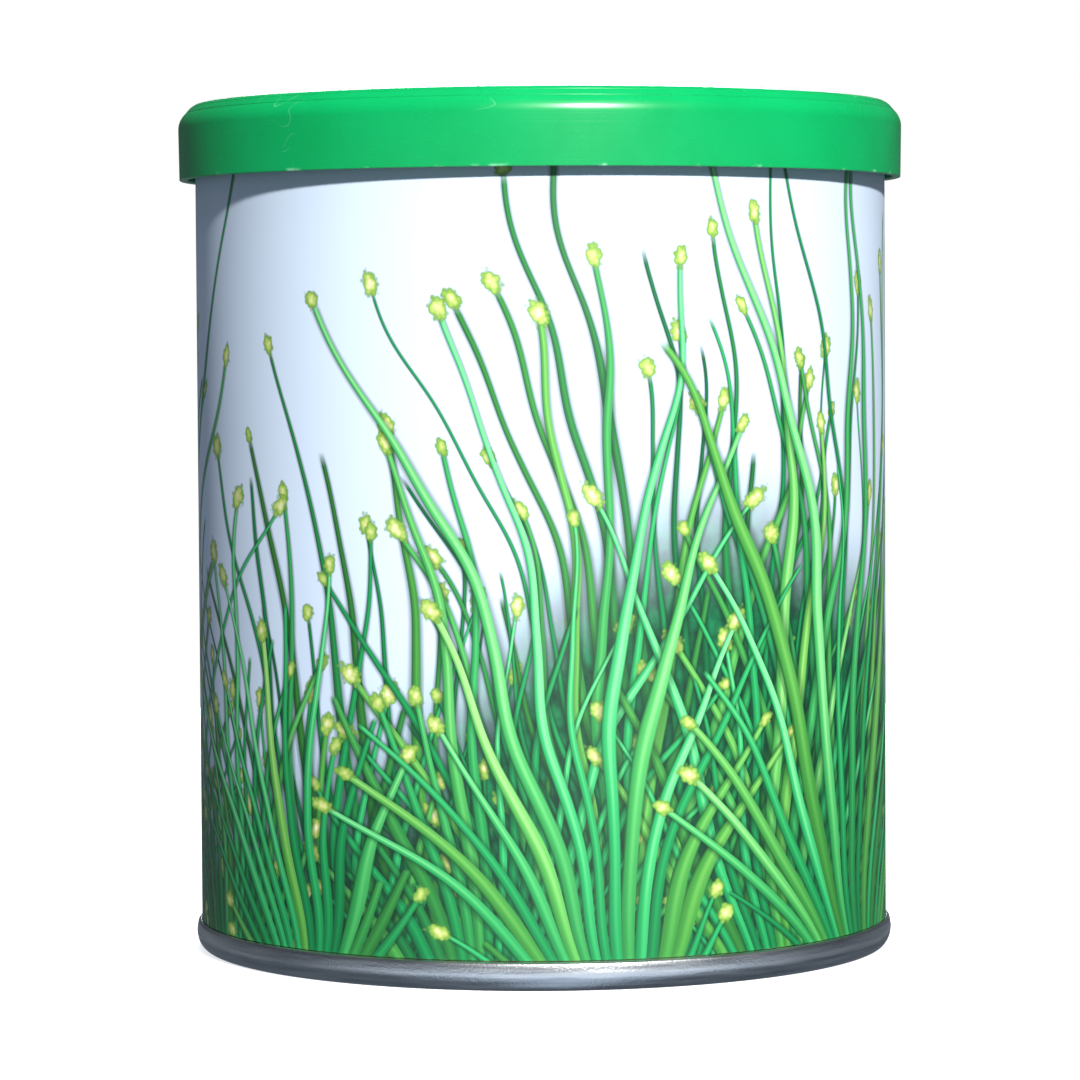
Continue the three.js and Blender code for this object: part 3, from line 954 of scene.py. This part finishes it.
def folded_tab():
    rows = tab_rows()
    wide = TAB_COLUMNS + 1
    vertices = []
    for y, z, half_width in rows:
        vertices += [(half_width * (2 * i / TAB_COLUMNS - 1) * MM, y * MM, z * MM) for i in range(wide)]
    faces = []
    for row in range(len(rows) - 1):
        for i in range(row * wide, row * wide + TAB_COLUMNS):
            faces.append((i, i + 1, i + 1 + wide, i + wide))
    mesh = bpy.data.meshes.new("folded_tab")
    mesh.from_pydata(vertices, [], faces)
    sheet = in_scene("folded_tab", mesh)
    thickness = sheet.modifiers.new("Foil", "SOLIDIFY")
    thickness.thickness = SEAL_FOIL * MM
    thickness.offset = 0.0
    return plain_piece("folded_tab", sheet)


seal = seal_disc()
tab = folded_tab()
both = bmesh.new()
both.from_mesh(seal.data)
both.from_mesh(tab.data)
both.to_mesh(seal.data)
both.free()
bpy.data.objects.remove(tab)
seal.data.shade_smooth()
face_outwards(seal.data)

# %% [markdown]
# The label
#
# The label is one sheet wrapped round the tube. In plan it is a ring that doesn't quite close on
# itself: its last few millimetres climb over its first edge. The plan is drawn as two rows of points,
# inner and outer, and lifted from the label's lower edge to its upper one.

# %% Label

LABEL_STEPS = 240
LAP_ANGLE = math.radians(7.5)
CLIMB_ANGLE = math.radians(3)
BACK = math.radians(90)


def label_sheet():
    end = 2 * math.pi + LAP_ANGLE
    climb_from = 2 * math.pi - CLIMB_ANGLE
    inner, outer = [], []
    for i in range(LABEL_STEPS + 1):
        turned = end * i / LABEL_STEPS
        climb = min(max((turned - climb_from) / CLIMB_ANGLE, 0.0), 1.0)
        lift = climb * climb * (3 - 2 * climb) * (LABEL_PAPER + AIR / 6)
        radius = (LABEL_RADIUS - LABEL_PAPER + lift) * MM
        way = Vector((math.cos(BACK + turned), math.sin(BACK + turned)))
        inner.append(way * radius)
        outer.append(way * (radius + LABEL_PAPER * MM))
    ring = inner + outer[::-1]
    heights = (label_low.z * MM, label_high.z * MM)
    vertices = [(*point, z) for z in heights for point in ring]
    count = len(ring)
    faces = [(i, (i + 1) % count, count + (i + 1) % count, count + i) for i in range(count)]
    for level in (0, count):
        for i in range(LABEL_STEPS):
            faces.append((level + i, level + i + 1, level + count - 2 - i, level + count - 1 - i))
    mesh = bpy.data.meshes.new("printed_label")
    mesh.from_pydata(vertices, [], faces)
    mesh.materials.append(label_print)
    mesh.shade_smooth()
    face_outwards(mesh)
    return in_scene("printed_label", mesh)


label = label_sheet()

# %% [markdown]
# Riding and replacing
#
# The can has no joint: the lid can be lifted away, so it is a separate piece in the one body, root.
# Each finished piece rides on root and says which CAD node it stands for, and that node is hidden.

# %% Pieces on their body

for piece, node, finish_slot in (
    (lid, "overcap", "green_plastic"),
    (tin_end, "bottom_end", "tinplate"),
    (tin_ring, "top_ring", "tinplate"),
    (tube, "tube", "board"),
    (liner, "foil_liner", "foil"),
    (seal, "foil_seal", "foil"),
    (label, "label", "label_paper"),
):
    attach(piece, "root")
    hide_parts(node)
    print(piece.name, "stands for", node)

# %% [markdown]
# Floor, light and camera
#
# The photograph has one hard light from the right and above, on a white ground. A softbox stands
# there: it is small enough to draw the lid's shadow on the label, and large enough to be soft. The
# floor is a small sheet that glows a little, so that it merges with the white behind it. A wide lamp
# overhead is weak, and a weak one behind lights only the can's back. The world is a dim, cool fill,
# and the camera sees it as white. Only in reflections it has a bright stretch of ground in front,
# which is what makes the seam shine. Neither the floor nor the world is sampled as a lamp, which saves
# render time. The camera stands where a fit to the photograph's outline put it.

# %% Floor and world

FLOOR_REACH = 0.3
FLOOR_GLOW = 0.75


def plain_floor():
    mesh = bpy.data.meshes.new("floor")
    reach = FLOOR_REACH
    corners = [(-reach, -reach, 0), (reach, -reach, 0), (reach, reach, 0), (-reach, reach, 0)]
    mesh.from_pydata(corners, [], [(0, 1, 2, 3)])
    made, tree = new_material("matt_white_floor")
    white = linear("#F4F6F8")
    glow = {"Emission Color": white, "Emission Strength": FLOOR_GLOW}
    shader = add(tree, "ShaderNodeBsdfPrincipled", {"Base Color": white, "Roughness": 0.9, **glow})
    add(tree, "ShaderNodeOutputMaterial", [shader])
    made.cycles.emission_sampling = "NONE"
    mesh.materials.append(made)
    floor = in_scene("floor", mesh)
    floor.visible_glossy = False
    floor.visible_diffuse = False


BRIGHT_AZIMUTH = 0.15  # radians to the right of the camera's side
BRIGHT_GROUND = 1.15
DIM_GROUND = 0.1
DIM_SKY = 0.09
FILL = 0.22


def cool_world():
    world = bpy.data.worlds.new("studio")
    bpy.context.scene.world = world
    world.use_nodes = True
    world.cycles.sampling_method = "NONE"
    tree = world.node_tree
    tree.nodes.clear()
    ray = add(tree, "ShaderNodeLightPath").outputs
    way = add(tree, "ShaderNodeTexCoord").outputs["Generated"]
    parts = add(tree, "ShaderNodeSeparateXYZ", [way]).outputs
    forwards = add(tree, MATH, [parts["Y"], -1.0], operation="MULTIPLY")
    azimuth = add(tree, MATH, [parts["X"], forwards], operation="ARCTAN2")
    beside = add(tree, MATH, [azimuth, BRIGHT_AZIMUTH], operation="SUBTRACT")
    off_azimuth = add(tree, MATH, [beside], operation="ABSOLUTE")
    half_width = add(tree, "ShaderNodeMapRange", [parts["Z"], -0.6, -0.2, 0.45, 1.6])
    share = add(tree, MATH, [off_azimuth, half_width], operation="DIVIDE")
    across = add(tree, "ShaderNodeMapRange", [share, 0.4, 1.0, BRIGHT_GROUND, DIM_GROUND])
    below = add(tree, "ShaderNodeMapRange", [parts["Z"], -0.04, 0.03, 1.0, 0.0])
    seen = add(tree, MATH, [across, below, DIM_SKY], operation="MULTIPLY_ADD")
    strength = add(tree, "ShaderNodeMix", [ray["Is Glossy Ray"], FILL, seen])
    fill = add(tree, "ShaderNodeBackground", {"Color": linear("#DCE8F8"), "Strength": strength})
    white = add(tree, "ShaderNodeBackground", {"Color": linear("#FFFFFF"), "Strength": 1.0})
    mixed = add(tree, "ShaderNodeMixShader", [ray["Is Camera Ray"], fill, white])
    add(tree, "ShaderNodeOutputWorld", [mixed])


plain_floor()
cool_world()
print("floor:", 2 * FLOOR_REACH, "m wide, fill light:", FILL)

# %% Lights

MIDDLE = Vector((0, 0, 46 * MM))


def place_lamp(name, lamp, azimuth, elevation, distance, colour):
    """A lamp that faces the can. Azimuth 0 is at the camera, and 90 at the can's right."""
    lamp.color = linear(colour)[:3]
    holder = in_scene(name, lamp)
    a, e = math.radians(azimuth), math.radians(elevation)
    towards = Vector((math.sin(a) * math.cos(e), -math.cos(a) * math.cos(e), math.sin(e)))
    holder.location = MIDDLE + towards * distance
    holder.rotation_euler = towards.to_track_quat("Z", "Y").to_euler()
    return holder


softbox = bpy.data.lights.new("softbox", "AREA")
softbox.size = 0.07
softbox.energy = 25.5
place_lamp("softbox", softbox, 16, 30, 1.2, "#FFFCF8")

ceiling = bpy.data.lights.new("ceiling", "SUN")
ceiling.angle = math.radians(50)
ceiling.energy = 1.2
place_lamp("ceiling", ceiling, 0, 90, 1.5, "#F6FAFF").visible_glossy = False

back_light = bpy.data.lights.new("back_light", "AREA")
back_light.size = 0.35
back_light.energy = 9.0
place_lamp("back_light", back_light, 180, 25, 1.2, "#F6FAFF")
print("softbox and back light:", softbox.energy, back_light.energy, "W")

# %% Camera

FRAME_PIXELS = 1080
FOCAL_PIXELS = 4281.5
SENSOR_MM = 36.0
CAMERA_DISTANCE = 467.5
CAMERA_HEIGHT = 66.1
CAMERA_ASIDE = -0.22
PITCH = math.radians(2.71)
ROLL = 0.0058

lens = bpy.data.cameras.new("camera")
lens.sensor_width = SENSOR_MM
lens.lens = FOCAL_PIXELS / FRAME_PIXELS * SENSOR_MM
lens.clip_start = 0.01
lens.clip_end = 50
camera = in_scene("camera", lens)
aim = Matrix.Rotation(math.radians(90) - PITCH, 3, "X") @ Matrix.Rotation(-ROLL, 3, "Z")
camera.rotation_euler = aim.to_euler()
camera.location = Vector((CAMERA_ASIDE, -CAMERA_DISTANCE, CAMERA_HEIGHT)) * MM
bpy.context.scene.camera = camera
bpy.context.scene.view_settings.view_transform = "Standard"
print("camera:", round(lens.lens, 1), "mm lens,", CAMERA_DISTANCE, "mm in front of the can's axis")
